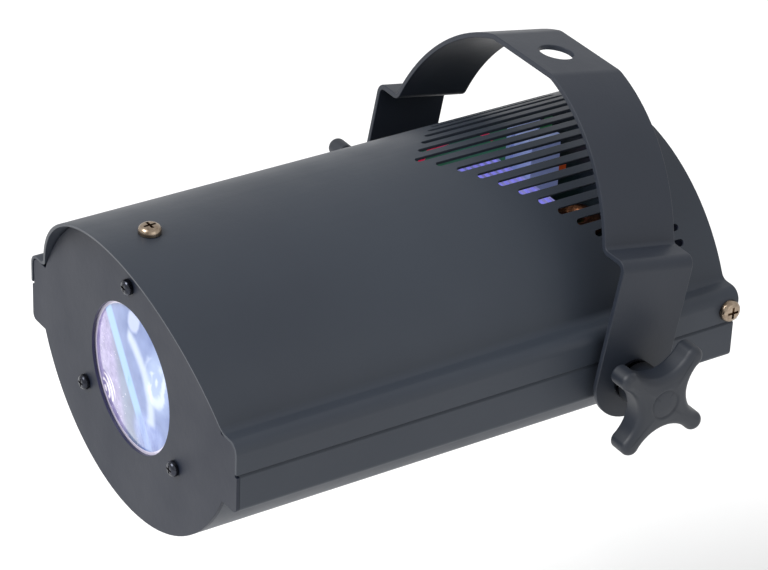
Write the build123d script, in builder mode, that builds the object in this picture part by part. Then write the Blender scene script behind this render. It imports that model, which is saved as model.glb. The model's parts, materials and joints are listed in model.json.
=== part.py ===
from build123d import *
import math
import os

# Compact effect spotlight on a tilting U yoke.
# Frame: origin on the optical axis at the front plate, X across, -Y out of the lens, +Z up.
os.makedirs("parts", exist_ok=True)

# ---------------------------------------------------------------- driving dimensions (mm)
SHEET = 1.2            # housing sheet
COVER_R = 70.0         # cover crown, outside radius
COVER_ZC = -13.6       # centre of the crown arc
TRAY_R = 70.4          # tray belly, outside radius
TRAY_ZC = 15.4         # centre of the belly arc
WING_TOP = 14.1        # top face of the cover's side wings
WING_BOTTOM = -13.7    # under face of the tray's side wings
HALF_W = 74.0          # outside half width over the cover flanges
SEAM_Z = 2.1           # lower edge of the cover flanges
EDGE_Y = -0.9          # front edge of the cover's flanges
TRAY_OUT = 73.7        # tray sides below the seam, level with the cover flanges
TRAY_BACK = 208.0
COVER_BACK = 209.2     # cover overhangs the tray at the back
BEND_OUT = 3.8         # bend between wing and flange
BEND_IN = 4.0          # bend between crown and wing
HOOD = 10.0            # forward rake of the cover at its crown

LENS_R = 28.0          # clear aperture
SCREW_RING = 37.3      # front screws
PLATE_T = 1.2
FRONT_Y = -0.6         # front face of the front plate
TRAY_Y = 0.65          # the plate covers the front edge of the tray
REAR_Y = 199.6         # inner face of the rear panel, set into the tray

SLOT_W = 2.6           # vent slots, cut before the sheet is rolled
SLOT_STEP = 4.8        # degrees of crown between slots
SLOT_COUNT = 11        # each side of the middle one
SLOT_BACK = 196.0
SLOT_FRONT = 115.5

CROWN_SCREW_Y = 7.3
SIDE_SCREW_Y = 204.8
SIDE_SCREW_Z = 7.0

PIVOT_Y = 158.3
PIVOT_Z = -4.7
STUD_R = 3.0
LEAN = 10.4            # yoke leans back by this much
STRAP_W = 31.2
STRAP_T = 2.0
ARM_X = 80.0           # outer face of the yoke arms
YOKE_TOP = 91.8        # top face of the yoke above the pivot
YOKE_HOLE_R = 6.5
FLAT_X = 18.3          # half length of the flat top
ELBOW_X = 67.0         # bow meets the ledge
LEDGE = 46.4           # joggle height above the pivot

KNOB_R = 23.0          # tip of each knob arm
TIP_R = 3.6
WEB_R = 10.4            # hollow between two arms
KNOB_FACE = 100.0
GRIP_T = 9.5           # thickness of the star; the hub behind it is narrower

front = Plane.XZ
pivot = Vector(0, PIVOT_Y, PIVOT_Z)
lean_cos = math.cos(math.radians(LEAN))
lean_sin = math.sin(math.radians(LEAN))


def save(part, label, col):
    """Name a finished piece, give it a plain colour and write its file."""
    part.label = label
    part.color = Color(*col)
    export_step(part, f"parts/{label}.step")


def at_y(y):
    """Sketch plane across the optical axis; a negative extrusion runs backwards."""
    return Plane.XZ.offset(-y)


CHARCOAL = (0.24, 0.25, 0.28)
NICKEL = (0.62, 0.60, 0.56)
BLACK = (0.04, 0.04, 0.05)
GREEN = (0.08, 0.28, 0.14)
STEEL = (0.55, 0.56, 0.58)
WHITE = (0.85, 0.85, 0.82)

# ---------------------------------------------------------------- cover
half = SHEET / 2
crown_r = COVER_R - half
crown_z = WING_TOP - half
crown_x = math.sqrt(crown_r**2 - (crown_z - COVER_ZC) ** 2)
with BuildPart() as cover:
    with BuildSketch(at_y(EDGE_Y - HOOD - 2)) as cover_section:
        with BuildLine() as cover_path:
            Line((HALF_W - half, SEAM_Z), (HALF_W - half, crown_z))
            Line((HALF_W - half, crown_z), (crown_x, crown_z))
            ThreePointArc((crown_x, crown_z), (0, COVER_ZC + crown_r), (-crown_x, crown_z))
            Line((-crown_x, crown_z), (-HALF_W + half, crown_z))
            Line((-HALF_W + half, crown_z), (-HALF_W + half, SEAM_Z))
            corners = cover_path.vertices().filter_by(lambda v: abs(v.Y - crown_z) < 0.01)
            fillet(corners.filter_by(lambda v: abs(v.X) > HALF_W - 1), BEND_OUT)
            fillet(corners.filter_by(lambda v: abs(v.X) < HALF_W - 1), BEND_IN)
        trace(line_width=SHEET)
    extrude(amount=-(COVER_BACK - EDGE_Y + HOOD + 2))
    # raked front edge, level with the plate at the wings and overhanging at the crown
    with BuildSketch(Plane.YZ) as rake:
        with BuildLine():
            Polyline(
                (EDGE_Y - HOOD - 5, -20),
                (EDGE_Y, -20),
                (EDGE_Y, WING_TOP),
                (EDGE_Y - HOOD, COVER_ZC + COVER_R),
                (EDGE_Y - HOOD - 0.6, COVER_ZC + COVER_R + 3),
                (EDGE_Y - HOOD - 5, COVER_ZC + COVER_R + 3),
                close=True,
            )
        make_face()
    extrude(amount=HALF_W + 5, both=True, mode=Mode.SUBTRACT)
    # vent slots, longest over the centre line
    for n in range(-SLOT_COUNT, SLOT_COUNT + 1):
        turn = math.radians(n * SLOT_STEP)
        start = SLOT_FRONT + 5.15 * abs(n)
        middle = (SLOT_BACK + start) / 2
        slot_plane = Plane(
            origin=(
                (COVER_R - 4) * math.sin(turn),
                middle,
                COVER_ZC + (COVER_R - 4) * math.cos(turn),
            ),
            x_dir=(0, 1, 0),
            z_dir=(math.sin(turn), 0, math.cos(turn)),
        )
        with BuildSketch(slot_plane):
            SlotOverall(SLOT_BACK - start, SLOT_W)
        extrude(amount=8, mode=Mode.SUBTRACT)
    # screw holes: crown at the front, flanges at the back
    with BuildSketch(Plane.XY.offset(40)):
        with Locations((0, CROWN_SCREW_Y)):
            Circle(2.2)
    extrude(amount=20, mode=Mode.SUBTRACT)
    with BuildSketch(Plane.YZ.offset(-HALF_W - 2)):
        with Locations((SIDE_SCREW_Y, SIDE_SCREW_Z)):
            Circle(2.2)
    extrude(amount=2 * HALF_W + 4, mode=Mode.SUBTRACT)
save(cover.part, "cover", CHARCOAL)

# ---------------------------------------------------------------- tray
lip_x = HALF_W - SHEET - 0.3 - half
tray_x = TRAY_OUT - half
belly_r = TRAY_R - half
belly_z = WING_BOTTOM + half
belly_x = math.sqrt(belly_r**2 - (belly_z - TRAY_ZC) ** 2)
with BuildPart() as tray:
    with BuildSketch(at_y(TRAY_Y)):
        with BuildLine() as tray_path:
            for side in (1, -1):
                Polyline(
                    (side * lip_x, SEAM_Z + 7.5),
                    (side * lip_x, SEAM_Z - 0.3),
                    (side * tray_x, SEAM_Z - 1.7),
                    (side * tray_x, belly_z),
                    (side * belly_x, belly_z),
                )
            ThreePointArc((belly_x, belly_z), (0, TRAY_ZC - belly_r), (-belly_x, belly_z))
            bends = tray_path.vertices().filter_by(lambda v: abs(v.Y - belly_z) < 0.01)
            fillet(bends, 1.8)
        trace(line_width=SHEET)
    extrude(amount=TRAY_Y - TRAY_BACK)
    with BuildSketch(Plane.YZ.offset(-HALF_W - 2)):
        with Locations((SIDE_SCREW_Y, SIDE_SCREW_Z)):
            Circle(2.2)
        with Locations((PIVOT_Y, PIVOT_Z)):
            Circle(STUD_R + 0.5)
    extrude(amount=2 * HALF_W + 4, mode=Mode.SUBTRACT)
save(tray.part, "tray", CHARCOAL)


# ---------------------------------------------------------------- end plates
def end_outline(side_up, side_low, skin, corner):
    """Closed outline 0.35 inside the cover, and a skin inside the tray's outer face."""
    up_r = COVER_R - SHEET - 0.35
    lo_r = TRAY_R - skin
    top = WING_TOP - SHEET - 0.35
    step = SEAM_Z - 1.3
    bottom = WING_BOTTOM + skin
    up_x = math.sqrt(up_r**2 - (top - COVER_ZC) ** 2)
    lo_x = math.sqrt(lo_r**2 - (bottom - TRAY_ZC) ** 2)
    with BuildLine(mode=Mode.PRIVATE) as outline:
        for side in (1, -1):
            Polyline(
                (side * up_x, top),
                (side * side_up, top),
                (side * side_up, step),
                (side * side_low, step),
                (side * side_low, bottom),
                (side * lo_x, bottom),
            )
        ThreePointArc((up_x, top), (0, COVER_ZC + up_r), (-up_x, top))
        ThreePointArc((-lo_x, bottom), (0, TRAY_ZC - lo_r), (lo_x, bottom))
        ends = outline.vertices().filter_by(lambda v: abs(v.X) > side_up - 0.01)
        fillet(ends.filter_by(lambda v: abs(v.Y - top) < 0.01), 2.85)
        fillet(ends.filter_by(lambda v: abs(v.Y - bottom) < 0.01), corner)
    return outline.line


TAB_HIGH = COVER_ZC + COVER_R - 2.8
TAB_LOW = TRAY_ZC - TRAY_R + 3.0
with BuildPart() as front_plate:
    with BuildSketch(at_y(FRONT_Y)):
        add(end_outline(HALF_W - SHEET - 0.35, TRAY_OUT, 0.0, 2.4))
        make_face()
        Circle(LENS_R, mode=Mode.SUBTRACT)
        with PolarLocations(SCREW_RING, 3, start_angle=90):
            Circle(1.7, mode=Mode.SUBTRACT)
    extrude(amount=-PLATE_T)
    # tabs folded back under the crown and over the belly
    with BuildSketch(at_y(FRONT_Y + PLATE_T)):
        with Locations((0, TAB_HIGH), (0, TAB_LOW)):
            Rectangle(16, 1.2)
    extrude(amount=-14)
    with BuildSketch(Plane.XY.offset(40)):
        with Locations((0, CROWN_SCREW_Y)):
            Circle(2.05)
    extrude(amount=20, mode=Mode.SUBTRACT)
save(front_plate.part, "front_plate", CHARCOAL)

INLET_X = 34.0
INLET_Z = -6.4
FUSE_X = 0.0
FUSE_Z = -6.4
SENS_X = -46.0
SENS_Z = -6.4
MIC_X = -46.0
MIC_Z = 15.6
tab_x = lip_x - half - 0.95
TAB_Z = SEAM_Z + 2.7
with BuildPart() as rear_panel:
    with BuildSketch(at_y(REAR_Y)):
        add(end_outline(lip_x - half - 0.35, TRAY_OUT - SHEET - 0.45, SHEET + 0.45, 1.0))
        make_face()
        with Locations((INLET_X, INLET_Z)):
            Rectangle(28.4, 20.4, mode=Mode.SUBTRACT)
        with Locations((INLET_X - 20, INLET_Z), (INLET_X + 20, INLET_Z)):
            Circle(1.7, mode=Mode.SUBTRACT)
        with Locations((FUSE_X, FUSE_Z)):
            Circle(6.4, mode=Mode.SUBTRACT)
        with Locations((SENS_X, SENS_Z)):
            Circle(3.8, mode=Mode.SUBTRACT)
        with Locations((MIC_X, MIC_Z)):
            Circle(4.0, mode=Mode.SUBTRACT)
    extrude(amount=-PLATE_T)
    # tabs folded backwards along the sides and the belly
    with BuildSketch(at_y(REAR_Y)):
        with Locations((tab_x, TAB_Z), (-tab_x, TAB_Z)):
            Rectangle(1.2, 13)
        with Locations((0, TAB_LOW)):
            Rectangle(16, 1.2)
    extrude(amount=-8.4)
    with BuildSketch(Plane.YZ.offset(-HALF_W - 2)):
        with Locations((SIDE_SCREW_Y, SIDE_SCREW_Z)):
            Circle(2.05)
    extrude(amount=2 * HALF_W + 4, mode=Mode.SUBTRACT)
save(rear_panel.part, "rear_panel", CHARCOAL)


# ---------------------------------------------------------------- screws
def pan_screw(head_r, head_h, shank_r, length, cross):
    """Pan head with a crossed recess; head underside at local z = 0, shank downwards."""
    with BuildPart(mode=Mode.PRIVATE) as screw:
        with BuildSketch(Plane.XY):
            Circle(head_r)
        extrude(amount=head_h)
        fillet(screw.faces().sort_by(Axis.Z)[-1].edges(), head_h * 0.7)
        with BuildSketch(Plane.XY):
            Circle(shank_r)
        extrude(amount=-length)
        with BuildSketch(Plane.XY.offset(head_h)):
            Rectangle(cross, cross * 0.22)
            Rectangle(cross * 0.22, cross)
        extrude(amount=-head_h * 0.55, mode=Mode.SUBTRACT)
    return screw.part


cover_screw = pan_screw(4.15, 2.8, 1.9, 7.0, 4.6)
screw_seats = [
    Plane(origin=(0, CROWN_SCREW_Y, COVER_ZC + COVER_R + 0.15), x_dir=(1, 0, 0), z_dir=(0, 0, 1)),
    Plane(origin=(HALF_W + 0.05, SIDE_SCREW_Y, SIDE_SCREW_Z), x_dir=(0, 1, 0), z_dir=(1, 0, 0)),
    Plane(origin=(-HALF_W - 0.05, SIDE_SCREW_Y, SIDE_SCREW_Z), x_dir=(0, 1, 0), z_dir=(-1, 0, 0)),
]
cover_screws = Compound(children=[seat.location * cover_screw for seat in screw_seats])
save(cover_screws, "cover_screws", NICKEL)

front_screw = pan_screw(2.9, 2.3, 1.45, 16.0, 3.2)
front_spots = [
    (SCREW_RING * math.cos(math.radians(a)), SCREW_RING * math.sin(math.radians(a)))
    for a in (90, 210, 330)
]
front_screws = Compound(
    children=[
        Plane(origin=(x, FRONT_Y - 0.3, z), x_dir=(1, 0, 0), z_dir=(0, -1, 0)).location * front_screw
        for x, z in front_spots
    ]
)
save(front_screws, "front_screws", BLACK)

inlet_screw = pan_screw(2.7, 1.7, 1.45, 6.0, 2.9)
inlet_screws = Compound(
    children=[
        Plane(
            origin=(INLET_X + dx, REAR_Y + PLATE_T + 2.15, INLET_Z),
            x_dir=(1, 0, 0),
            z_dir=(0, 1, 0),
        ).location
        * inlet_screw
        for dx in (-20, 20)
    ]
)
save(inlet_screws, "inlet_screws", NICKEL)


# ---------------------------------------------------------------- nuts behind the sheet
def clinch_nut(outer_r, bore_r, height):
    """Round press nut lying on its seat plane."""
    with BuildPart(mode=Mode.PRIVATE) as nut:
        with BuildSketch(Plane.XY):
            RegularPolygon(outer_r, 6)
            Circle(bore_r, mode=Mode.SUBTRACT)
        extrude(amount=height)
    return nut.part


cover_nut = clinch_nut(3.6, 2.0, 2.4)
nut_seats = [
    Plane(origin=(0, CROWN_SCREW_Y, TAB_HIGH - 0.7), x_dir=(1, 0, 0), z_dir=(0, 0, -1)),
    Plane(origin=(tab_x - 0.7, SIDE_SCREW_Y, SIDE_SCREW_Z), x_dir=(0, 1, 0), z_dir=(-1, 0, 0)),
    Plane(origin=(-tab_x + 0.7, SIDE_SCREW_Y, SIDE_SCREW_Z), x_dir=(0, 1, 0), z_dir=(1, 0, 0)),
]
cover_nuts = Compound(children=[seat.location * cover_nut for seat in nut_seats])
save(cover_nuts, "cover_nuts", STEEL)

# ---------------------------------------------------------------- lens and its barrel
BARREL_Y = FRONT_Y + PLATE_T + 0.1
with BuildPart() as lens_barrel:
    with BuildSketch(at_y(BARREL_Y)):
        Circle(34.0)
        with PolarLocations(SCREW_RING, 3, start_angle=90):
            Circle(4.2)
        Circle(31.4, mode=Mode.SUBTRACT)
        with PolarLocations(SCREW_RING, 3, start_angle=90):
            Circle(1.6, mode=Mode.SUBTRACT)
    extrude(amount=-3)
    with BuildSketch(at_y(BARREL_Y + 3)):
        Circle(34.0)
        Circle(31.4, mode=Mode.SUBTRACT)
    extrude(amount=-5)
save(lens_barrel.part, "lens_barrel", BLACK)

LENS_SEAT = BARREL_Y + 0.2
LENS_SAG = 2.4
lens_curve = (28.0**2 + LENS_SAG**2) / (2 * LENS_SAG)
lens_mid = LENS_SEAT + 0.1 - LENS_SAG + lens_curve - math.sqrt(lens_curve**2 - 14.0**2)
with BuildPart() as lens:
    with BuildSketch(Plane.YZ):
        with BuildLine():
            Polyline(
                (LENS_SEAT + 0.1 - LENS_SAG, 0),
                (LENS_SEAT + 4.5, 0),
                (LENS_SEAT + 4.5, 31.0),
                (LENS_SEAT + 0.1, 31.0),
                (LENS_SEAT + 0.1, 28.0),
            )
            ThreePointArc(
                (LENS_SEAT + 0.1, 28.0), (lens_mid, 14.0), (LENS_SEAT + 0.1 - LENS_SAG, 0)
            )
        make_face()
    revolve(axis=Axis.Y)
save(lens.part, "lens", (0.75, 0.8, 0.95))

with BuildPart() as lens_clip:
    with BuildSketch(at_y(LENS_SEAT + 4.7)):
        Circle(31.1)
        Circle(28.6, mode=Mode.SUBTRACT)
        with Locations((0, -30)):
            Rectangle(8, 8, mode=Mode.SUBTRACT)
    extrude(amount=-1.6)
save(lens_clip.part, "lens_clip", STEEL)

# ---------------------------------------------------------------- light engine
BOARD_Y = 17.0
with BuildPart() as led_posts:
    with BuildSketch(at_y(FRONT_Y + PLATE_T + 3.3)):
        with PolarLocations(SCREW_RING, 3, start_angle=90):
            Circle(3.2)
            Circle(1.52, mode=Mode.SUBTRACT)
    extrude(amount=-(BOARD_Y - FRONT_Y - PLATE_T - 3.5))
save(led_posts.part, "led_posts", STEEL)

with BuildPart() as led_board:
    with BuildSketch(at_y(BOARD_Y)):
        Circle(49.5)
        Circle(33.6, mode=Mode.SUBTRACT)
        with PolarLocations(SCREW_RING, 3, start_angle=90):
            Circle(1.7, mode=Mode.SUBTRACT)
    extrude(amount=-1.6)
save(led_board.part, "led_board", WHITE)

with BuildPart() as leds:
    with BuildSketch(at_y(BOARD_Y + 1.7)):
        with PolarLocations(44.2, 24, start_angle=7.5):
            Circle(2.9)
    extrude(amount=-1.2)
    with BuildSketch(at_y(BOARD_Y + 2.9)):
        with PolarLocations(44.2, 24, start_angle=7.5):
            Circle(2.5)
    extrude(amount=-6)
    fillet(leds.faces().filter_by(Axis.Y).group_by(Axis.Y)[-1].edges(), 2.2)
save(leds.part, "leds", (0.8, 0.85, 1.0))

# ---------------------------------------------------------------- turning mirror dish and its motor
DISH_Y = 66.0


def dish_body(grow):
    """Twelve sided bowl made of three flat-facetted bands."""
    rings = [(47.5 + grow, 0.0, 0), (36.0 + grow, 9.0, 15), (20.0 + grow, 15.5, 0), (7.0, 18.0, 15)]
    pieces = []
    for (r0, y0, a0), (r1, y1, a1) in zip(rings, rings[1:]):
        with BuildPart(mode=Mode.PRIVATE) as band:
            with BuildSketch(at_y(DISH_Y + y0 + grow)):
                RegularPolygon(r0, 12)
            with BuildSketch(at_y(DISH_Y + y1 + grow)):
                RegularPolygon(r1, 12)
            loft()
        pieces.append(band.part)
    return pieces


with BuildPart() as mirror_dish:
    for piece in dish_body(1.5):
        add(piece)
    for piece in dish_body(0.0):
        add(piece, mode=Mode.SUBTRACT)
    with BuildSketch(at_y(DISH_Y - 1)):
        RegularPolygon(47.5, 12)
    extrude(amount=-2.5, mode=Mode.SUBTRACT)
    with BuildSketch(at_y(DISH_Y + 30)):
        Circle(4.1)
    extrude(amount=20, mode=Mode.SUBTRACT)
save(mirror_dish.part, "mirror_dish", (0.75, 0.8, 0.95))

with BuildPart() as dish_hub:
    with BuildSketch(at_y(DISH_Y + 14.5)):
        Circle(3.9)
        Circle(2.05, mode=Mode.SUBTRACT)
    extrude(amount=-9)
    with BuildSketch(at_y(DISH_Y + 20.0)):
        Circle(8.0)
        Circle(2.05, mode=Mode.SUBTRACT)
    extrude(amount=-4)
save(dish_hub.part, "dish_hub", WHITE)

MOTOR_Y = 98.0
with BuildPart() as motor_shaft:
    with BuildSketch(at_y(DISH_Y + 13.0)):
        Circle(2.0)
    extrude(amount=-(MOTOR_Y + 4 - DISH_Y - 13.0))
save(motor_shaft.part, "motor_shaft", STEEL)

with BuildPart() as motor:
    with BuildSketch(at_y(MOTOR_Y)):
        Circle(21.0)
        with Locations((27, 0), (-27, 0)):
            Rectangle(16, 10)
    extrude(amount=-1.0)
    with BuildSketch(at_y(MOTOR_Y + 1.0)):
        Circle(21.0)
    extrude(amount=-15)
    fillet(motor.faces().sort_by(Axis.Y)[-1].edges(), 1.5)
    with BuildSketch(at_y(MOTOR_Y)):
        Circle(2.06)
    extrude(amount=-5, mode=Mode.SUBTRACT)
    with BuildSketch(at_y(MOTOR_Y)):
        with Locations((30, 0), (-30, 0)):
            Circle(1.7)
    extrude(amount=-1.5, mode=Mode.SUBTRACT)
save(motor.part, "motor", STEEL)

BRACKET_Y = 96.4
with BuildPart() as motor_bracket:
    with BuildSketch(at_y(BRACKET_Y)):
        with Locations((0, -2)):
            RectangleRounded(76, 60, 6)
        Circle(8.5, mode=Mode.SUBTRACT)
        with Locations((30, 0), (-30, 0)):
            Circle(1.7, mode=Mode.SUBTRACT)
    extrude(amount=-1.5)
    with BuildSketch(at_y(BRACKET_Y)):
        with Locations((0, -42.1)):
            Rectangle(20, 21)
    extrude(amount=-1.5)
    with BuildSketch(at_y(BRACKET_Y)):
        with Locations((0, -51.85)):
            Rectangle(20, 1.5)
    extrude(amount=-22)
save(motor_bracket.part, "motor_bracket", STEEL)

motor_screw = pan_screw(2.7, 1.7, 1.45, 5.0, 2.9)
motor_screws = Compound(
    children=[
        Plane(origin=(x, MOTOR_Y + 1.1, 0), x_dir=(1, 0, 0), z_dir=(0, 1, 0)).location * motor_screw
        for x in (-30, 30)
    ]
)
save(motor_screws, "motor_screws", NICKEL)

# ---------------------------------------------------------------- driver board and its components
PCB_X = -30.0          # board stands upright along the housing, parts on its +X face
PCB_T = 1.6
face_x = PCB_X + PCB_T
with BuildPart() as main_board:
    with BuildSketch(Plane.YZ.offset(PCB_X)):
        with Locations((158.5, 5)):
            RectangleRounded(76, 78, 2)
        with Locations((125, -30), (192, -30), (125, 40), (192, 40)):
            Circle(1.7, mode=Mode.SUBTRACT)
    extrude(amount=PCB_T)
save(main_board.part, "main_board", GREEN)

with BuildPart() as board_bracket:
    with BuildSketch(Plane.YZ.offset(PCB_X - 8)):
        with Locations((158.5, -33.7)):
            Rectangle(78, 13.4)
    extrude(amount=1.5)
    with BuildSketch(Plane.YZ.offset(PCB_X - 6.5)):
        with Locations((125, -30), (192, -30)):
            Circle(3.2)
            Circle(1.6, mode=Mode.SUBTRACT)
    extrude(amount=6.4)
    with BuildSketch(Plane.XY.offset(-41.4)):
        with Locations((PCB_X - 3.5, 158.5)):
            Rectangle(9, 78)
    extrude(amount=1.5)
save(board_bracket.part, "board_bracket", STEEL)

with BuildPart() as heatsink:
    with BuildSketch(Plane.YZ.offset(face_x + 0.1)):
        with Locations((160.2, 19.8)):
            Rectangle(19, 23.6)
    extrude(amount=3)
    with BuildSketch(Plane.YZ.offset(face_x + 3.1)):
        with GridLocations(2.95, 1, 7, 1):
            with Locations((160.2, 19.8)):
                Rectangle(1.3, 23.6)
    extrude(amount=39)
save(heatsink.part, "heatsink", (0.7, 0.71, 0.75))

with BuildPart() as transformer:
    with BuildSketch(Plane.YZ.offset(face_x + 0.1)):
        with Locations((182, 31)):
            Rectangle(13, 24)
    extrude(amount=3)
    with BuildSketch(Plane.YZ.offset(face_x + 3.1)):
        with Locations((182, 31)):
            RectangleRounded(10.5, 21, 3)
    extrude(amount=11)
    with BuildSketch(Plane.YZ.offset(face_x + 14.1)):
        with Locations((182, 31)):
            Rectangle(13, 24)
    extrude(amount=2.5)
save(transformer.part, "transformer", (0.55, 0.65, 0.85))

with BuildPart() as capacitors:
    with BuildSketch(Plane.YZ.offset(face_x + 0.1)):
        with Locations((160, -14), (177, -14)):
            Circle(8)
    extrude(amount=20)
    fillet(capacitors.faces().filter_by(Axis.X).group_by(Axis.X)[-1].edges(), 1.2)
    with BuildSketch(Plane.YZ.offset(face_x + 0.1)):
        with Locations((143, -18), (132, -18)):
            Circle(4)
    extrude(amount=12)
save(capacitors.part, "capacitors", (0.12, 0.12, 0.2))

with BuildPart() as choke:
    with Locations((2, 186, 13)):
        Torus(8, 3.6)
    with BuildSketch(Plane.YZ.offset(face_x + 0.1)):
        with Locations((186, 13)):
            Circle(2.2)
    extrude(amount=20.5)
save(choke.part, "choke", (0.6, 0.32, 0.14))

with BuildPart() as board_parts:
    with BuildSketch(Plane.YZ.offset(face_x + 0.1)):
        with Locations((192.2, 26.6)):
            Rectangle(4.5, 4)
    extrude(amount=13)
    with BuildSketch(Plane.YZ.offset(face_x + 0.1)):
        with Locations((146, -1)):
            Rectangle(18, 8)
    extrude(amount=4)
    with BuildSketch(Plane.YZ.offset(face_x + 0.1)):
        with Locations((130, -8)):
            Rectangle(8, 12)
    extrude(amount=9)
save(board_parts.part, "board_parts", (0.75, 0.3, 0.12))

# ---------------------------------------------------------------- rear panel fittings
with BuildPart() as inlet:
    with BuildSketch(at_y(REAR_Y + PLATE_T + 0.1)):
        with Locations((INLET_X, INLET_Z)):
            RectangleRounded(48, 23, 4)
        with Locations((INLET_X - 20, INLET_Z), (INLET_X + 20, INLET_Z)):
            Circle(1.6, mode=Mode.SUBTRACT)
    extrude(amount=-2.0)
    with BuildSketch(at_y(REAR_Y + PLATE_T + 0.1)):
        with Locations((INLET_X, INLET_Z)):
            RectangleRounded(28, 20, 3)
    extrude(amount=22)
    with BuildSketch(at_y(REAR_Y + PLATE_T + 2.1)):
        with Locations((INLET_X, INLET_Z)):
            RectangleRounded(24.4, 16.4, 4)
    extrude(amount=17, mode=Mode.SUBTRACT)
    pin_spots = ((INLET_X - 7, INLET_Z - 2), (INLET_X + 7, INLET_Z - 2), (INLET_X, INLET_Z + 2.2))
    with BuildSketch(at_y(REAR_Y - 10)):
        with Locations(*pin_spots):
            Rectangle(2.1, 4.1)
    extrude(amount=14, mode=Mode.SUBTRACT)
save(inlet.part, "inlet", BLACK)

with BuildPart() as inlet_pins:
    with BuildSketch(at_y(REAR_Y - 1.0)):
        with Locations(*pin_spots):
            Rectangle(2, 4)
    extrude(amount=26)
save(inlet_pins.part, "inlet_pins", STEEL)

with BuildPart() as fuse_holder:
    with BuildSketch(at_y(REAR_Y + PLATE_T + 0.1)):
        with Locations((FUSE_X, FUSE_Z)):
            Circle(8.0)
    extrude(amount=-2.0)
    with BuildSketch(at_y(REAR_Y + PLATE_T + 0.1)):
        with Locations((FUSE_X, FUSE_Z)):
            Circle(6.1)
    extrude(amount=26)
    with BuildSketch(at_y(REAR_Y + PLATE_T + 2.1)):
        with Locations((FUSE_X, FUSE_Z)):
            Circle(4.7)
    extrude(amount=24, mode=Mode.SUBTRACT)
save(fuse_holder.part, "fuse_holder", BLACK)

with BuildPart() as fuse_cap:
    with BuildSketch(at_y(REAR_Y + PLATE_T + 2.3)):
        with Locations((FUSE_X, FUSE_Z)):
            Circle(6.8)
    extrude(amount=-3.5)
    fillet(fuse_cap.faces().sort_by(Axis.Y)[-1].edges(), 0.8)
    with BuildSketch(at_y(REAR_Y + PLATE_T + 5.8)):
        with Locations((FUSE_X, FUSE_Z)):
            Rectangle(9, 1.4)
    extrude(amount=1.5, mode=Mode.SUBTRACT)
    with BuildSketch(at_y(REAR_Y + PLATE_T + 2.3)):
        with Locations((FUSE_X, FUSE_Z)):
            Circle(4.4)
            Circle(2.7, mode=Mode.SUBTRACT)
    extrude(amount=6)
save(fuse_cap.part, "fuse_cap", BLACK)

with BuildPart() as fuse:
    with BuildSketch(at_y(REAR_Y + PLATE_T + 2.0)):
        with Locations((FUSE_X, FUSE_Z)):
            Circle(2.5)
    extrude(amount=20)
save(fuse.part, "fuse", (0.8, 0.85, 0.85))

with BuildPart() as sensor_pot:
    with BuildSketch(at_y(REAR_Y - 0.1)):
        with Locations((SENS_X, SENS_Z)):
            Circle(7.6)
    extrude(amount=8)
    with BuildSketch(at_y(REAR_Y - 0.1)):
        with Locations((SENS_X, SENS_Z)):
            Circle(3.4)
    extrude(amount=-5)
    with BuildSketch(at_y(REAR_Y + 6)):
        with Locations((SENS_X, SENS_Z)):
            Circle(1.56)
    extrude(amount=12, mode=Mode.SUBTRACT)
save(sensor_pot.part, "sensor_pot", STEEL)

with BuildPart() as sensor_nut:
    with BuildSketch(at_y(REAR_Y + PLATE_T + 0.1)):
        with Locations((SENS_X, SENS_Z)):
            RegularPolygon(6.2, 6)
            Circle(3.75, mode=Mode.SUBTRACT)
    extrude(amount=-2.0)
save(sensor_nut.part, "sensor_nut", STEEL)

with BuildPart() as sensor_knob:
    with BuildSketch(at_y(REAR_Y + PLATE_T + 4.2)):
        with Locations((SENS_X, SENS_Z)):
            Circle(7.0)
    extrude(amount=-10)
    fillet(sensor_knob.faces().sort_by(Axis.Y)[-1].edges(), 1.2)
    with BuildSketch(at_y(REAR_Y + PLATE_T + 14.2)):
        with Locations((SENS_X, SENS_Z + 4)):
            Rectangle(1.2, 5)
    extrude(amount=0.8, mode=Mode.SUBTRACT)
    with BuildSketch(at_y(REAR_Y + PLATE_T + 4.2)):
        with Locations((SENS_X, SENS_Z)):
            Circle(1.5)
    extrude(amount=8)
save(sensor_knob.part, "sensor_knob", BLACK)

with BuildPart() as microphone:
    with BuildSketch(at_y(REAR_Y + PLATE_T)):
        with Locations((MIC_X, MIC_Z)):
            Circle(3.6)
    extrude(amount=7)
save(microphone.part, "microphone", STEEL)


# ---------------------------------------------------------------- wiring inside the housing
def wire(points, radius):
    """Round insulated wire through a list of points."""
    with BuildPart(mode=Mode.PRIVATE) as run:
        with BuildLine() as path:
            Spline(*points)
        with BuildSketch(Plane(origin=path.line @ 0, z_dir=path.line % 0)):
            Circle(radius)
        sweep()
    return run.part


tail_y = REAR_Y - 29.0
red_runs = [
    wire([(-14, 118, 8), (-17, 125, 33), (-22, 135, 43.5), (-23.5, 147, 45.5), (-24, 158, 45.5), (-26, 167, 40)], 0.9),
    wire([(INLET_X - 7, tail_y, INLET_Z - 2), (22, 168, -26), (8, 156, -35), (-24, 150, -33)], 1.0),
]
black_runs = [
    wire([(INLET_X + 7, tail_y, INLET_Z - 2), (34, 160, -24), (12, 146, -37), (-24, 142, -35)], 1.0),
    wire([(-24, 134, -33), (0, 130, -38), (8, 122, -30), (6, 115.5, -14)], 0.9),
]
wires_red = Compound(children=red_runs)
save(wires_red, "wires_red", (0.7, 0.05, 0.08))
wires_black = Compound(children=black_runs)
save(wires_black, "wires_black", BLACK)

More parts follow.
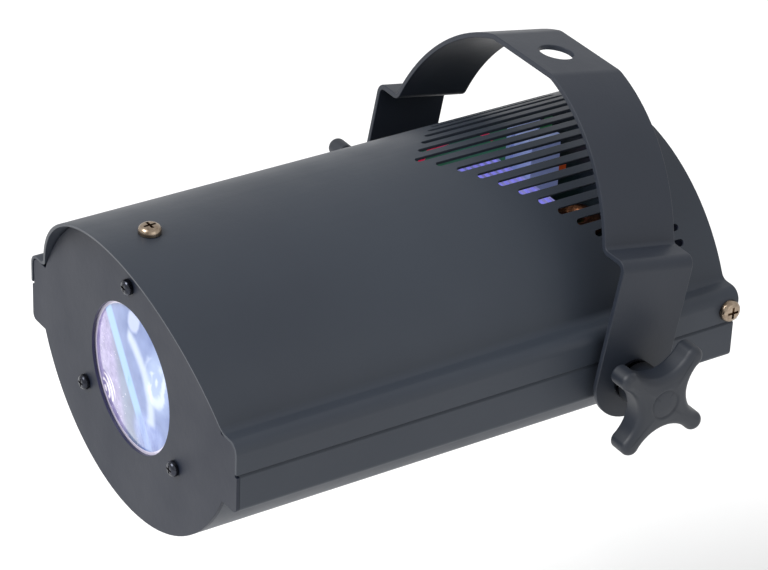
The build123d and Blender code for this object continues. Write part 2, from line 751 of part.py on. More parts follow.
# ---------------------------------------------------------------- pivots
pivot_seat = TRAY_OUT
with BuildPart() as pivot_nuts:
    for side in (1, -1):
        with BuildSketch(
            Plane(origin=(side * (pivot_seat - SHEET), PIVOT_Y, PIVOT_Z), x_dir=(0, 1, 0), z_dir=(-side, 0, 0))
        ):
            RegularPolygon(5.5, 6)
            Circle(STUD_R + 0.05, mode=Mode.SUBTRACT)
        extrude(amount=5)
save(pivot_nuts.part, "pivot_nuts", STEEL)

with BuildPart() as pivot_bushes:
    for side in (1, -1):
        with BuildSketch(
            Plane(origin=(side * pivot_seat, PIVOT_Y, PIVOT_Z), x_dir=(0, 1, 0), z_dir=(side, 0, 0))
        ):
            Circle(6.5)
            Circle(STUD_R + 0.4, mode=Mode.SUBTRACT)
        extrude(amount=ARM_X - STRAP_T - pivot_seat - 0.1)
save(pivot_bushes.part, "pivot_bushes", BLACK)

# ---------------------------------------------------------------- yoke
yoke_plane = Plane(origin=pivot, x_dir=(1, 0, 0), z_dir=(0, -lean_cos, lean_sin))
arm_mid = ARM_X - STRAP_T / 2
top_mid = YOKE_TOP - STRAP_T / 2
foot = -STRAP_W / 2
with BuildPart() as yoke:
    with BuildSketch(yoke_plane):
        with BuildLine() as strap:
            Line((-arm_mid, foot), (-arm_mid, LEDGE - 1))
            Line((-arm_mid, LEDGE - 1), (-ELBOW_X, LEDGE - 1))
            ThreePointArc((-ELBOW_X, LEDGE - 1), (-49.0, 73.5), (-FLAT_X, top_mid))
            Line((-FLAT_X, top_mid), (FLAT_X, top_mid))
            ThreePointArc((FLAT_X, top_mid), (49.0, 73.5), (ELBOW_X, LEDGE - 1))
            Line((ELBOW_X, LEDGE - 1), (arm_mid, LEDGE - 1))
            Line((arm_mid, LEDGE - 1), (arm_mid, foot))
            knuckles = strap.vertices().filter_by(lambda v: abs(abs(v.X) - arm_mid) < 0.1 and v.Y > 0)
            elbows = strap.vertices().filter_by(lambda v: abs(abs(v.X) - ELBOW_X) < 0.1)
            shoulders = strap.vertices().filter_by(lambda v: abs(abs(v.X) - FLAT_X) < 0.1)
            fillet(knuckles, 3.0)
            fillet(elbows, 3.0)
            fillet(shoulders, 9.0)
        trace(line_width=STRAP_T)
    extrude(amount=STRAP_W / 2, both=True)
    # round the arm ends about the pivot
    for side in (1, -1):
        with BuildSketch(
            Plane(
                origin=(side * (ARM_X - STRAP_T - 1), PIVOT_Y, PIVOT_Z),
                x_dir=(0, side * lean_cos, -side * lean_sin),
                z_dir=(side, 0, 0),
            )
        ):
            with Locations((0, -20)):
                Rectangle(STRAP_W + 4, 40)
            Circle(STRAP_W / 2, mode=Mode.SUBTRACT)
        extrude(amount=STRAP_T + 2, mode=Mode.SUBTRACT)
    with BuildSketch(Plane(origin=pivot, z_dir=(1, 0, 0))):
        Circle(STUD_R + 0.35)
    extrude(amount=ARM_X + 5, both=True, mode=Mode.SUBTRACT)
    with BuildSketch(Plane(origin=pivot, x_dir=(1, 0, 0), z_dir=yoke_plane.y_dir)):
        Circle(YOKE_HOLE_R)
    extrude(amount=YOKE_TOP + 5, mode=Mode.SUBTRACT)
save(yoke.part, "yoke", CHARCOAL)


# ---------------------------------------------------------------- locking knobs
def star_outline(turn):
    """Four slender arms with round tips and hollow sides."""
    reach = KNOB_R - TIP_R
    with BuildLine(mode=Mode.PRIVATE) as line:
        for n in range(4):
            arm = Vector(1, 0, 0).rotate(Axis.Z, turn + 90 * n)
            across = Vector(0, 1, 0).rotate(Axis.Z, turn + 90 * n)
            arm_next = Vector(1, 0, 0).rotate(Axis.Z, turn + 90 * n + 90)
            across_next = Vector(0, 1, 0).rotate(Axis.Z, turn + 90 * n + 90)
            web = Vector(WEB_R, 0, 0).rotate(Axis.Z, turn + 90 * n + 45)
            ThreePointArc(arm * reach - across * TIP_R, arm * KNOB_R, arm * reach + across * TIP_R)
            ThreePointArc(arm * reach + across * TIP_R, web, arm_next * reach - across_next * TIP_R)
    return line.line


def star_knob(side, turn):
    """Four-armed hand knob on a moulded-in stud, clamping one yoke arm."""
    base = Plane(
        origin=(side * (ARM_X + 2.9), PIVOT_Y, PIVOT_Z), x_dir=(0, side, 0), z_dir=(side, 0, 0)
    )
    depth = KNOB_FACE - ARM_X - 2.9
    with BuildPart(mode=Mode.PRIVATE) as grip:
        with BuildSketch(base.offset(depth - GRIP_T)):
            add(star_outline(turn))
            make_face()
        extrude(amount=GRIP_T)
        outer_face = grip.faces().sort_by(Axis.X)[-1 if side > 0 else 0]
        chamfer(outer_face.edges(), 2.4)
        with BuildSketch(base):
            Circle(8.0)
        extrude(amount=depth - GRIP_T + 1)
        with BuildSketch(base.offset(depth)):
            Circle(5.0)
            Circle(4.5, mode=Mode.SUBTRACT)
        extrude(amount=-0.3, mode=Mode.SUBTRACT)
        with BuildSketch(base):
            Circle(STUD_R + 0.02)
        extrude(amount=depth - 4, mode=Mode.SUBTRACT)
    return grip.part


def knob_stud(side):
    """Threaded stud from inside the housing into the knob."""
    with BuildPart(mode=Mode.PRIVATE) as stud:
        with BuildSketch(
            Plane(origin=(side * 62.0, PIVOT_Y, PIVOT_Z), x_dir=(0, side, 0), z_dir=(side, 0, 0))
        ):
            Circle(STUD_R)
        extrude(amount=KNOB_FACE - 4.5 - 62.0)
    return stud.part


def knob_washer(side):
    """Flat washer between knob and yoke arm."""
    with BuildPart(mode=Mode.PRIVATE) as washer:
        with BuildSketch(
            Plane(origin=(side * (ARM_X + 0.1), PIVOT_Y, PIVOT_Z), x_dir=(0, side, 0), z_dir=(side, 0, 0))
        ):
            Circle(7.8)
            Circle(STUD_R + 0.06, mode=Mode.SUBTRACT)
        extrude(amount=1.2)
    return washer.part


for side, name, turn in ((1, "right", 49.7), (-1, "left", 45.0)):
    save(star_knob(side, turn), f"knob_{name}", (0.2, 0.2, 0.22))
    save(knob_stud(side), f"stud_{name}", STEEL)
    save(knob_washer(side), f"washer_{name}", STEEL)
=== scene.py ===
import json
import math

import bmesh
import bpy
from mathutils import Matrix, Vector


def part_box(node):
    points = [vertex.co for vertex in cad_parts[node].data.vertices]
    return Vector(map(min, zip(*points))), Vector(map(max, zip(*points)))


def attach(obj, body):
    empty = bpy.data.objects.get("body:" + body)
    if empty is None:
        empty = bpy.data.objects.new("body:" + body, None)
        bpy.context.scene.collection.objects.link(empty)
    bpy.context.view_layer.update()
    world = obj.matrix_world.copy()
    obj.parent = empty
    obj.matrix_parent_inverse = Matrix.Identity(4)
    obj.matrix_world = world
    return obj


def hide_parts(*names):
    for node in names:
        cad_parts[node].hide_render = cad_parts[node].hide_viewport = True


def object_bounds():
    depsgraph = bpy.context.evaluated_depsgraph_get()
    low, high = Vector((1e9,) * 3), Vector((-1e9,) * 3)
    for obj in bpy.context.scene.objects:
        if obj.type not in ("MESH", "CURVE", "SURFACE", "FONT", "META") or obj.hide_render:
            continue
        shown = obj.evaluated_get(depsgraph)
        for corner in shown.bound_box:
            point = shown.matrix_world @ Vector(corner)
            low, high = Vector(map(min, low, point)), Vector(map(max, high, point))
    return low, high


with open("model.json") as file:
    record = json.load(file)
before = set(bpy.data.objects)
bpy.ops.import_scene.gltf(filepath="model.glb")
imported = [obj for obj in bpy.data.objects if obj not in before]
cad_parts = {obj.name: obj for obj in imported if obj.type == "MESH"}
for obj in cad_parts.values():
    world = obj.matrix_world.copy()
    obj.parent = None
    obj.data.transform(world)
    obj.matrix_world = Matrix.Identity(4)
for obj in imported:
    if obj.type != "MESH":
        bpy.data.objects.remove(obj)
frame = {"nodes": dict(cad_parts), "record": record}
cad_low, cad_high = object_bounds()
nodes = frame["nodes"]


# ---------------------------------------------------------------- shader helpers
NOISE_LOW, NOISE_HIGH = 0.3, 0.7       # the range that a noise mostly stays in


class Nodes:
    """Small helper that adds and joins shader nodes."""

    def __init__(self, name):
        self.material = bpy.data.materials.new(name)
        self.material.use_nodes = True
        self.tree = self.material.node_tree
        self.tree.nodes.clear()
        self.out = self.add("ShaderNodeOutputMaterial")
        self.bsdf = self.add("ShaderNodeBsdfPrincipled")
        self.join(self.bsdf, "BSDF", self.out, "Surface")
        self.coords = self.add("ShaderNodeTexCoord")

    def add(self, kind, **values):
        node = self.tree.nodes.new(kind)
        for key, value in values.items():
            setattr(node, key, value)
        return node

    def join(self, a, out_name, b, in_name):
        self.tree.links.new(a.outputs[out_name], b.inputs[in_name])

    def set(self, **values):
        for key, value in values.items():
            self.bsdf.inputs[key.replace("_", " ")].default_value = value

    def noise(self, scale, detail=3.0, rough=0.5, stretch=(1, 1, 1)):
        mapping = self.add("ShaderNodeMapping")
        mapping.inputs["Scale"].default_value = stretch
        self.join(self.coords, "Object", mapping, "Vector")
        tex = self.add("ShaderNodeTexNoise")
        tex.inputs["Scale"].default_value = scale
        tex.inputs["Detail"].default_value = detail
        tex.inputs["Roughness"].default_value = rough
        self.join(mapping, "Vector", tex, "Vector")
        return tex

    def tones(self, source, dark, light):
        """Colour that drifts between two tones with a noise."""
        ramp = self.add("ShaderNodeValToRGB")
        first, last = ramp.color_ramp.elements
        for element, place, colour in ((first, NOISE_LOW, dark), (last, NOISE_HIGH, light)):
            element.position = place
            element.color = (*colour, 1)
        self.join(source, "Fac", ramp, "Fac")
        return ramp.outputs["Color"]

    def span(self, source, out_name, low, high):
        """Stretches the middle range of a noise to low ... high."""
        node = self.add("ShaderNodeMapRange")
        node.inputs["From Min"].default_value = NOISE_LOW
        node.inputs["From Max"].default_value = NOISE_HIGH
        node.inputs["To Min"].default_value = low
        node.inputs["To Max"].default_value = high
        self.join(source, out_name, node, "Value")
        return node

    def put(self, node, slot, value):
        """Joins a socket or sets a number on an input."""
        if isinstance(value, bpy.types.NodeSocket):
            self.tree.links.new(value, node.inputs[slot])
        else:
            node.inputs[slot].default_value = value

    def maths(self, operation, a, b=0.0):
        node = self.add("ShaderNodeMath", operation=operation)
        self.put(node, 0, a)
        self.put(node, 1, b)
        return node.outputs[0]

    def times(self, a, b):
        return self.maths("MULTIPLY", a, b)

    def plus(self, a, b):
        return self.maths("ADD", a, b)

    def fade(self, value, near, far):
        """1 at near, 0 at far, smooth between."""
        node = self.add("ShaderNodeMapRange", interpolation_type="SMOOTHSTEP")
        self.put(node, "Value", value)
        for slot, number in (("From Min", near), ("From Max", far), ("To Min", 1.0), ("To Max", 0.0)):
            node.inputs[slot].default_value = number
        return node.outputs["Result"]

    def distance(self, u, v, cu, cv):
        """Distance of the point (u, v) from the fixed point (cu, cv)."""
        du = self.maths("SUBTRACT", u, cu)
        dv = self.maths("SUBTRACT", v, cv)
        return self.maths("SQRT", self.plus(self.times(du, du), self.times(dv, dv)))

    def mix(self, factor, below, above):
        node = self.add("ShaderNodeMix", data_type="RGBA")
        self.put(node, 0, factor)
        for slot, value in ((6, below), (7, above)):
            if isinstance(value, bpy.types.NodeSocket):
                self.tree.links.new(value, node.inputs[slot])
            else:
                node.inputs[slot].default_value = (*value, 1)
        return node.outputs[2]

    def bump(self, source, out_name, strength, distance, after=None):
        node = self.add("ShaderNodeBump")
        node.inputs["Strength"].default_value = strength
        node.inputs["Distance"].default_value = distance
        self.join(source, out_name, node, "Height")
        if after is not None:
            self.join(after, "Normal", node, "Normal")
        return node


def srgb(r, g, b):
    """Linear colour from 0-255 display values."""
    def lin(c):
        c /= 255.0
        return c / 12.92 if c <= 0.04045 else ((c + 0.055) / 1.055) ** 2.4

    return (lin(r), lin(g), lin(b))


def paint(name, dark, light, rough=(0.40, 0.50)):
    """Fine-textured powder coat whose tone and gloss drift slightly."""
    n = Nodes(name)
    n.tree.links.new(n.tones(n.noise(9, 4, 0.55), dark, light), n.bsdf.inputs["Base Color"])
    gloss = n.span(n.noise(26, 3, 0.6), "Fac", *rough)
    n.join(gloss, "Result", n.bsdf, "Roughness")
    peel = n.bump(n.noise(420, 2, 0.5), "Fac", 0.10, 0.0004)
    grain = n.bump(n.noise(1600, 2, 0.6), "Fac", 0.14, 0.00015, peel)
    n.join(grain, "Normal", n.bsdf, "Normal")
    n.set(IOR=1.38)
    return n.material


def finish(name, dark, light, rough, cloud, fine, bump, glow, metallic):
    """Two tones and a gloss that drift with one noise, and a fine bump from another.
    Both noises are given as scale, detail and roughness. The glow is painted light: a linear colour
    and a strength of emission, for parts that lie in the dark of the housing and are no lamps."""
    n = Nodes(name)
    drift = n.noise(*cloud)
    n.tree.links.new(n.tones(drift, dark, light), n.bsdf.inputs["Base Color"])
    n.join(n.span(drift, "Fac", *rough), "Result", n.bsdf, "Roughness")
    n.join(n.bump(n.noise(*fine), "Fac", bump, 0.0002), "Normal", n.bsdf, "Normal")
    n.set(Metallic=metallic)
    if glow is not None:
        n.set(Emission_Color=(*glow[:3], 1), Emission_Strength=glow[3])
    return n.material


def metal(name, dark, light, rough=(0.22, 0.38), scale=60, bump=0.06, glow=None):
    """Bare or plated metal, glossier where it is lighter."""
    gloss = (rough[1], rough[0])
    return finish(name, dark, light, gloss, (scale, 4, 0.6), (scale * 14, 2, 0.6), bump, glow, 1.0)


def plastic(name, dark, light, rough=(0.35, 0.5), scale=40, bump=0.08, grain=1200, glow=None):
    """Plastic, board, rubber, glass or paper."""
    return finish(name, dark, light, rough, (scale, 3, 0.55), (grain, 2, 0.6), bump, glow, 0.0)


# Painted light in the lens, from the reflections on it and the lit optics behind it, in mm from its axis: x
# to the right, z up
BAND_ARC = (-62.0, -42.0, 75.5)        # centre and radius of the sky-blue band
BAND_HALF = (1.7, 3.4)                 # half width of the band: solid, gone
SLATE_SIDE = (-11.0, -4.0)             # where lavender turns to slate, left of the band
MOTTLE = (13.0, -19.0, 8.0, 13.0)      # mottled lower end: centre, solid and faded radius
PALE_ARC = (-9.6, -6.0, 24.6)          # pale strip beside the band
PALE_HALF = (0.4, 3.6)
PATCH = (1.0, 23.6, 3.2, 4.8)          # pale patch at the top
SWIRL = (18.6, 5.0)                    # middle of the bent rings on the right
RINGS = (-20.0, -15.0)                 # middle of the bright arcs low on the left
RINGS_SPOT = (-16.6, -12.6, 4.6, 6.2)
RIM = (27.2, 26.7)                     # pale rim painted at the edge of the glass: solid, gone
MM = 1000.0


def lens_with_painted_light(name):
    """Bluish coated glass whose colour holds painted light: the bands, rings and sparkle of the lit optics
    behind it and the reflections on it are painted in, not seen through the glass.
    """
    n = Nodes(name)
    split = n.add("ShaderNodeSeparateXYZ")
    n.join(n.coords, "Object", split, "Vector")
    x = n.times(split.outputs["X"], MM)
    z = n.times(split.outputs["Z"], MM)
    drift = n.noise(90, 3, 0.6)
    wobble = n.times(n.maths("SUBTRACT", drift.outputs["Fac"], 0.5), 3.0)

    def off_arc(arc):
        """Distance outside an arc given by its centre and radius."""
        return n.maths("SUBTRACT", n.distance(x, z, arc[0], arc[1]), arc[2])

    def spot(place, across=x):
        return n.fade(n.distance(across, z, place[0], place[1]), place[2], place[3])

    def lay(amount, share, colour):
        """Lays a colour over the ones before, by an amount times a share."""
        return n.mix(n.times(amount, share), layers, colour)

    # three painted fields of the view through the glass: slate and lavender left of the band, a blue panel
    # right of it
    band = n.plus(off_arc(BAND_ARC), n.times(wobble, 0.15))
    lavender = n.tones(n.noise(240, 4, 0.7), srgb(116, 108, 158), srgb(170, 160, 206))
    slate = n.tones(n.noise(60, 3, 0.6), srgb(88, 102, 134), srgb(122, 136, 168))
    panel = n.tones(n.noise(70, 3, 0.55), srgb(84, 104, 156), srgb(124, 142, 190))
    upper = n.fade(n.maths("SUBTRACT", band, n.times(z, 0.35)), *SLATE_SIDE)
    layers = n.mix(n.fade(band, 0.0, 1.0), panel, n.mix(upper, slate, lavender))
    # painted sky-blue band
    layers = lay(n.fade(n.maths("ABSOLUTE", band), *BAND_HALF), 1.0, srgb(140, 178, 222))
    # painted mottled lower end
    blotches = n.noise(160, 4, 0.7, (1, 1, 0.35))
    layers = lay(spot(MOTTLE), 0.8, n.tones(blotches, srgb(84, 106, 178), srgb(160, 178, 226)))
    # painted pale strip, right of the axis and above the mottled end
    pale = n.maths("ABSOLUTE", n.plus(off_arc(PALE_ARC), n.times(wobble, 0.5)))
    pale = n.times(n.fade(pale, *PALE_HALF), n.fade(x, -0.5, -3.0))
    layers = lay(n.times(pale, n.fade(z, -10.0, -13.0)), 0.65, srgb(206, 218, 236))
    # painted pale patch at the top
    layers = lay(spot(PATCH, n.plus(x, wobble)), 0.7, srgb(188, 198, 228))
    # painted broken, bent rings on the right
    away = n.distance(n.plus(x, n.times(wobble, 2.4)), n.times(z, 0.6), *SWIRL)
    turns = n.plus(n.times(away, 1.5), n.times(z, 0.2))
    swirl = n.times(n.fade(n.maths("SINE", turns), 0.9, -0.6), n.fade(away, 5.0, 8.6))
    swirl = n.times(swirl, n.fade(drift.outputs["Fac"], 0.52, 0.40))
    layers = lay(n.fade(away, 4.0, 9.5), 0.5, srgb(186, 204, 236))
    layers = lay(swirl, 0.5, srgb(226, 236, 252))
    # painted bright arcs low on the left
    arcs = n.fade(n.maths("SINE", n.times(n.distance(x, z, *RINGS), 2.2)), 0.55, 0.0)
    layers = lay(n.times(arcs, spot(RINGS_SPOT)), 1.0, (0.95, 0.90, 0.97))
    # painted sparkle of fine facets, left of the band
    facets = n.add("ShaderNodeTexVoronoi")
    facets.inputs["Scale"].default_value = 900
    n.join(n.coords, "Object", facets, "Vector")
    sparkle = n.times(n.fade(facets.outputs["Distance"], 0.16, 0.24), n.fade(band, -7.0, -3.0))
    chance = n.noise(420, 2, 0.5)
    sparkle = n.times(sparkle, n.fade(chance.outputs["Fac"], 0.58, 0.52))
    layers = lay(sparkle, 0.7, (0.86, 0.82, 0.97))
    # pale rim painted at the edge of the glass
    layers = lay(n.fade(n.distance(x, z, 0.0, 0.0), *RIM), 1.0, srgb(236, 230, 252))
    n.tree.links.new(layers, n.bsdf.inputs["Base Color"])
    n.join(n.span(drift, "Fac", 0.10, 0.18), "Result", n.bsdf, "Roughness")
    n.join(n.bump(n.noise(260, 2, 0.5), "Fac", 0.03, 0.0003), "Normal", n.bsdf, "Normal")
    n.set(IOR=1.5, Coat_Weight=0.6, Coat_Roughness=0.04)
    return n.material


materials = {
    "shell_paint": paint("shell paint", srgb(42, 47, 56), srgb(47, 53, 62)),
    "plate_paint": paint("plate paint", srgb(18, 24, 38), srgb(23, 29, 43), (0.46, 0.56)),
    "yoke_paint": paint("yoke paint", srgb(33, 38, 47), srgb(38, 43, 53)),
    "nickel": metal("bronzed nickel", srgb(120, 104, 88), srgb(176, 160, 142), (0.18, 0.34), 300),
    # painted shade: this dark material stands in for the shade in the gap round the lens
    "bore_dark": plastic("dark bore", srgb(22, 24, 52), srgb(32, 34, 66), (0.3, 0.45)),
    "black_zinc": metal("black zinc", srgb(44, 46, 52), srgb(66, 68, 76), (0.20, 0.32), 300),
    "zinc": metal("zinc plate", srgb(150, 152, 156), srgb(186, 188, 192), (0.25, 0.42), 90),
    "black_plastic": plastic("black plastic", srgb(20, 21, 23), srgb(27, 28, 31)),
    "grip_plastic": plastic("grip plastic", srgb(20, 26, 36), srgb(26, 32, 42), (0.42, 0.55), 60, 0.12, 900),
    "white_board": plastic("board white", srgb(206, 206, 200), srgb(226, 226, 220)),
    "white_plastic": plastic("white plastic", srgb(206, 206, 200), srgb(226, 226, 220)),
    "led_epoxy": plastic("led epoxy", srgb(196, 206, 240), srgb(230, 236, 255), (0.08, 0.14), 80, 0.02),
    "dichroic": metal("dichroic", srgb(150, 160, 226), srgb(206, 206, 246), (0.05, 0.12), 20, 0.01),
    # painted light: the green board glows, standing in for light inside the housing
    "green_board": plastic("board green", srgb(24, 68, 40), srgb(34, 86, 50), (0.25, 0.4), 90,
                           glow=(0.02, 0.10, 0.045, 0.5)),
    # painted light: the glow and the lavender cast of the colour stand in for lavender LED light inside the
    # housing
    "bare_alu": metal("bare aluminium", srgb(150, 150, 186), srgb(196, 196, 226), (0.3, 0.45), 400,
                      glow=(0.30, 0.29, 0.80, 0.40)),
    # painted light: the tape glows, standing in for light inside the housing
    "blue_tape": plastic("blue tape", srgb(136, 152, 196), srgb(160, 176, 216), (0.25, 0.4), 50,
                         glow=(0.32, 0.40, 0.74, 0.17)),
    "can_blue": plastic("can sleeve", srgb(24, 26, 44), srgb(34, 36, 58), (0.2, 0.35), 50),
    "copper": metal("copper", srgb(104, 62, 38), srgb(176, 124, 92), (0.25, 0.4), 900),
    # painted light: the orange part glows, standing in for light inside the housing
    "orange_plastic": plastic("orange", srgb(196, 74, 24), srgb(216, 92, 36), (0.3, 0.45), 50,
                              glow=(0.55, 0.09, 0.02, 0.15)),
    "rubber_black": plastic("rubber", srgb(18, 18, 20), srgb(26, 26, 28), (0.7, 0.85), 60),
    "fuse_glass": plastic("fuse glass", srgb(196, 206, 206), srgb(220, 226, 226), (0.05, 0.1), 60),
    "glass_lens": lens_with_painted_light("lens"),
    # painted light: the red wire glows, standing in for light inside the housing
    "wire_red": plastic("wire red", srgb(150, 14, 26), srgb(176, 22, 36), (0.3, 0.45), 60,
                        glow=(0.5, 0.01, 0.06, 0.6)),
    "wire_black": plastic("wire black", srgb(18, 18, 20), srgb(26, 26, 28), (0.3, 0.45), 60),
}

record_slots = {s["node"]: s["material_slot"] for s in frame["record"]["subparts"]}
for name, obj in nodes.items():
    obj.data.materials.clear()
    obj.data.materials.append(materials[record_slots[name]])


# ---------------------------------------------------------------- pieces with softened edges
SAME_POINT = 2e-6                      # vertices closer than this are one
FLAT = math.radians(0.6)               # faces that turn less than this are joined
SHARP = math.radians(32)               # edges that turn more than this are rounded
BORE_WALL = 0.0006                     # how far a bore's faces may lie from its radius
FACES_AXIS = -0.7                      # normal against the outward direction, on a bore's wall
ROUNDED = (("cover", 0.00014), ("tray", 0.00022), ("yoke", 0.00035))

body_of_node = {}
for body, members in frame["record"]["behaviour"]["bodies"].items():
    for member in members:
        body_of_node[member] = body


def add_piece(name, suffix, mesh):
    """Puts a smooth mesh into the scene in place of a CAD node."""
    obj = bpy.data.objects.new(name + suffix, mesh)
    bpy.context.scene.collection.objects.link(obj)
    for polygon in mesh.polygons:
        polygon.use_smooth = True
    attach(obj, body_of_node[name])
    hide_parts(name)
    return obj


def weigh_normals(obj, weight):
    weighted = obj.modifiers.new("normals", "WEIGHTED_NORMAL")
    weighted.mode = "FACE_AREA"
    weighted.weight = weight


def softened(name, width, painted_shade_bore=None):
    """Copy of a CAD node whose sheet edges are slightly rounded. The wall of a bore about the
    optical axis, of the given radius, can be dark: painted shade for the gap round the lens."""
    mesh = nodes[name].data.copy()
    bm = bmesh.new()
    bm.from_mesh(mesh)
    bmesh.ops.remove_doubles(bm, verts=bm.verts, dist=SAME_POINT)
    bmesh.ops.dissolve_limit(bm, angle_limit=FLAT, verts=bm.verts, edges=bm.edges)
    bm.to_mesh(mesh)
    bm.free()
    # painted shade on the wall of the lens bore
    if painted_shade_bore is not None:
        mesh.materials.append(materials["bore_dark"])
        for polygon in mesh.polygons:
            out = Vector((polygon.center.x, 0, polygon.center.z))
            on_wall = abs(out.length - painted_shade_bore) < BORE_WALL
            if on_wall and polygon.normal.dot(out.normalized()) < FACES_AXIS:
                polygon.material_index = 1
    obj = add_piece(name, "_soft", mesh)
    bevel = obj.modifiers.new("bevel", "BEVEL")
    bevel.width = width
    bevel.segments = 2
    bevel.limit_method = "ANGLE"
    bevel.angle_limit = SHARP
    bevel.use_clamp_overlap = False
    weigh_normals(obj, 90)


for name, width in ROUNDED:
    softened(name, width)
softened("front_plate", 0.00010, painted_shade_bore=0.028)


# ---------------------------------------------------------------- moulded star knobs
REACH = 0.023                          # axis to the end of an arm
TIP_R = 0.0036                         # round end of an arm
WEB_R = 0.0104                         # hollow between two arms, from the axis
ARM_POINTS = 14                        # outline points on one arm's end
WEB_POINTS = 16                        # outline points on one hollow
GRIP_T = 0.0095                        # thickness of the grip
FRONT_ROUND, FRONT_STEPS = 0.0026, 6   # rounding of the outer edge
BACK_ROUND, BACK_STEPS = 0.0011, 4     # rounding of the edge towards the yoke
CROWN, CROWN_R = 0.0003, 0.0062        # the face rises this much, up to this radius
HUB_R = 0.0080
# shallow ring in the middle of the face, as radius and depth
FACE_RING = ((0.0058, 0.0001), (0.0055, 0.00035), (0.0051, 0.00035), (0.0048, 0.0001), (0.0020, 0.0))


def arc_points(start, through, end, count):
    """Points on the circle through three points, from start to just before end."""
    ax, ay, bx, by = through.x - start.x, through.y - start.y, end.x - start.x, end.y - start.y
    d = 2 * (ax * by - ay * bx)
    ux = (by * (ax * ax + ay * ay) - ay * (bx * bx + by * by)) / d
    uy = (ax * (bx * bx + by * by) - bx * (ax * ax + ay * ay)) / d
    centre = Vector((start.x + ux, start.y + uy))
    radius = (start - centre).length
    first = math.atan2(start.y - centre.y, start.x - centre.x)
    middle = math.atan2(through.y - centre.y, through.x - centre.x)
    last = math.atan2(end.y - centre.y, end.x - centre.x)
    whole = (last - first) % (2 * math.pi)
    if (middle - first) % (2 * math.pi) > whole:
        whole -= 2 * math.pi
    turns = [first + whole * k / count for k in range(count)]
    return [centre + radius * Vector((math.cos(t), math.sin(t))) for t in turns]


def unit(angle):
    return Vector((math.cos(angle), math.sin(angle)))


def star_points(turn):
    """Outline of four round-ended arms with hollow sides, the first arm at turn."""
    quarter = math.pi / 2
    root = REACH - TIP_R
    points = []
    for n in range(4):
        a = turn + n * quarter
        b = a + quarter
        right = unit(a) * root - unit(a + quarter) * TIP_R
        left = unit(a) * root + unit(a + quarter) * TIP_R
        next_right = unit(b) * root - unit(b + quarter) * TIP_R
        points += arc_points(right, unit(a) * REACH, left, ARM_POINTS)
        points += arc_points(left, unit((a + b) / 2) * WEB_R, next_right, WEB_POINTS)
    return points


def inset(points, amount):
    """Outline moved inwards along its normals."""
    moved = []
    for k, p in enumerate(points):
        along = (points[(k + 1) % len(points)] - points[k - 1]).normalized()
        moved.append(p + amount * Vector((-along.y, along.x)))
    return moved


def round_ring(points, radius):
    return [p.normalized() * radius for p in points]


def knob_rings(turn, inner, outer):
    """Rings of the knob from its hub out to its face, each as x and an outline."""
    outline = star_points(turn)
    back = outer - GRIP_T
    shoulder = outer - CROWN - FRONT_ROUND
    rings = [(inner, round_ring(outline, HUB_R)), (back, round_ring(outline, HUB_R))]
    for k in range(BACK_STEPS + 1):
        a = math.pi / 2 * k / BACK_STEPS
        rings.append((back + BACK_ROUND * (1 - math.cos(a)), inset(outline, BACK_ROUND * (1 - math.sin(a)))))
    for k in range(FRONT_STEPS + 1):
        a = math.pi / 2 * k / FRONT_STEPS
        rings.append((shoulder + FRONT_ROUND * math.sin(a), inset(outline, FRONT_ROUND * (1 - math.cos(a)))))
    face = rings[-1][1]
    for share in (0.35, 0.7, 1.0):
        ring = [p.lerp(p.normalized() * CROWN_R, share) for p in face]
        rings.append((outer - CROWN * (1 - share), ring))
    for radius, depth in FACE_RING:
        rings.append((outer - depth, round_ring(face, radius)))
    return rings


def star_knob(name, side, turn):
    """Moulded hand knob with rounded shoulders, a shallow ring on its face and a round hub."""
    low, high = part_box(name)
    axis_y, axis_z = (low.y + high.y) / 2, (low.z + high.z) / 2
    inner, outer = (low.x, high.x) if side > 0 else (-high.x, -low.x)
    bm = bmesh.new()
    loops = []
    for x, points in knob_rings(turn, inner, outer):
        loops.append([bm.verts.new((side * x, axis_y + side * p.x, axis_z + p.y)) for p in points])
    for lower, upper in zip(loops, loops[1:]):
        for k in range(len(lower)):
            j = (k + 1) % len(lower)
            bm.faces.new((lower[k], lower[j], upper[j], upper[k]))
    bm.faces.new(loops[0])
    bm.faces.new(loops[-1])
    bmesh.ops.recalc_face_normals(bm, faces=bm.faces)
    mesh = bpy.data.meshes.new(name + "_moulded")
    bm.to_mesh(mesh)
    bm.free()
    mesh.materials.append(materials["grip_plastic"])
    weigh_normals(add_piece(name, "_moulded", mesh), 70)


star_knob("knob_right", 1, math.radians(49.7))
star_knob("knob_left", -1, math.radians(45.0))


# ---------------------------------------------------------------- stage, light and camera
VIEW_AZIMUTH, VIEW_ELEVATION, VIEW_ROLL = 56.286, 30.304, 2.384
CAMERA_PLACE = (0.86237, -0.47122, 0.61398)
SENSOR_MM, LENS_MM = 36, 155.16
SKY = 0.86                             # strength of the even white studio light
LIT_POINT = (0, 0.1, 0)
FLOOR_GAP = 0.14                       # floor below the lowest point of the CAD
HALF_FLOOR = 6.0


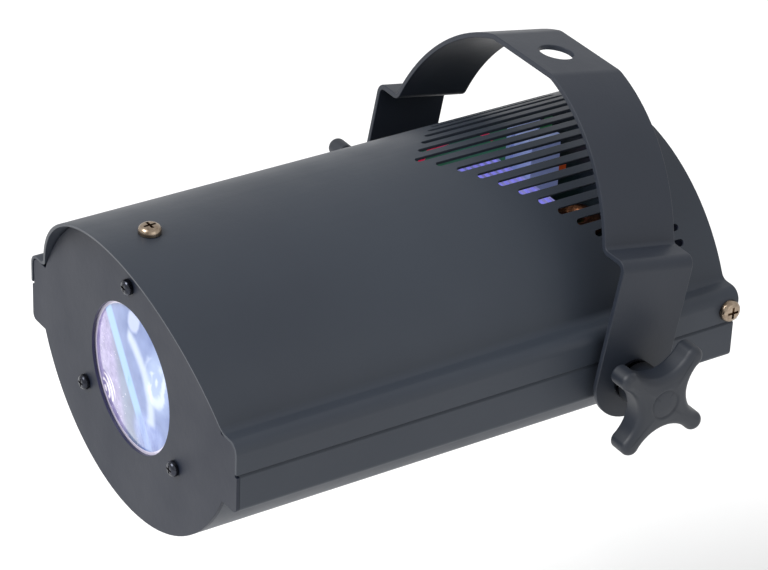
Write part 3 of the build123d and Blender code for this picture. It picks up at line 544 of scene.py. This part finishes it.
def look_from(azimuth, elevation, roll):
    """Camera axes for a view azimuth, elevation and roll in degrees."""
    a, e, w = (math.radians(v) for v in (azimuth, elevation, roll))
    back = Vector((math.sin(a) * math.cos(e), -math.cos(a) * math.cos(e), math.sin(e)))
    side = Vector((math.cos(a), math.sin(a), 0))
    top = back.cross(side)
    right = math.cos(w) * side + math.sin(w) * top
    up = -math.sin(w) * side + math.cos(w) * top
    return right, up, back


def area(name, place, size, power):
    """Square soft light that points at the middle of the head."""
    data = bpy.data.lights.new(name, "AREA")
    data.shape = "RECTANGLE"
    data.size = data.size_y = size
    data.energy = power
    lamp = bpy.data.objects.new(name, data)
    bpy.context.scene.collection.objects.link(lamp)
    lamp.location = place
    lamp.rotation_mode = "QUATERNION"
    lamp.rotation_quaternion = (Vector(LIT_POINT) - Vector(place)).to_track_quat("-Z", "Y")


axes = look_from(VIEW_AZIMUTH, VIEW_ELEVATION, VIEW_ROLL)
cam_data = bpy.data.cameras.new("camera")
cam = bpy.data.objects.new("camera", cam_data)
bpy.context.scene.collection.objects.link(cam)
cam_data.sensor_width = SENSOR_MM
cam_data.lens = LENS_MM
cam_data.clip_end = 20
cam.matrix_world = Matrix.Translation(CAMERA_PLACE) @ Matrix(axes).transposed().to_4x4()
bpy.context.scene.camera = cam

world = bpy.data.worlds.new("studio")
world.use_nodes = True
bpy.context.scene.world = world
background = world.node_tree.nodes["Background"]
background.inputs["Color"].default_value = (1, 1, 1, 1)
background.inputs["Strength"].default_value = SKY

area("key", (-0.3, -1.2, 1.5), 1.0, 30)
area("fill", (1.6, 0.3, 0.6), 1.2, 3)

floor_mesh = bpy.data.meshes.new("floor")
floor_z = cad_low.z - FLOOR_GAP
corners = ((-1, -1), (1, -1), (1, 1), (-1, 1))
floor_mesh.from_pydata([(HALF_FLOOR * x, HALF_FLOOR * y, floor_z) for x, y in corners], [], [(0, 1, 2, 3)])
floor = bpy.data.objects.new("floor", floor_mesh)
bpy.context.scene.collection.objects.link(floor)
paper = plastic("floor paper", srgb(250, 250, 250), srgb(254, 254, 254), (0.85, 0.95), 2, 0.0)
floor_mesh.materials.append(paper)

bpy.context.scene.view_settings.view_transform = "Standard"
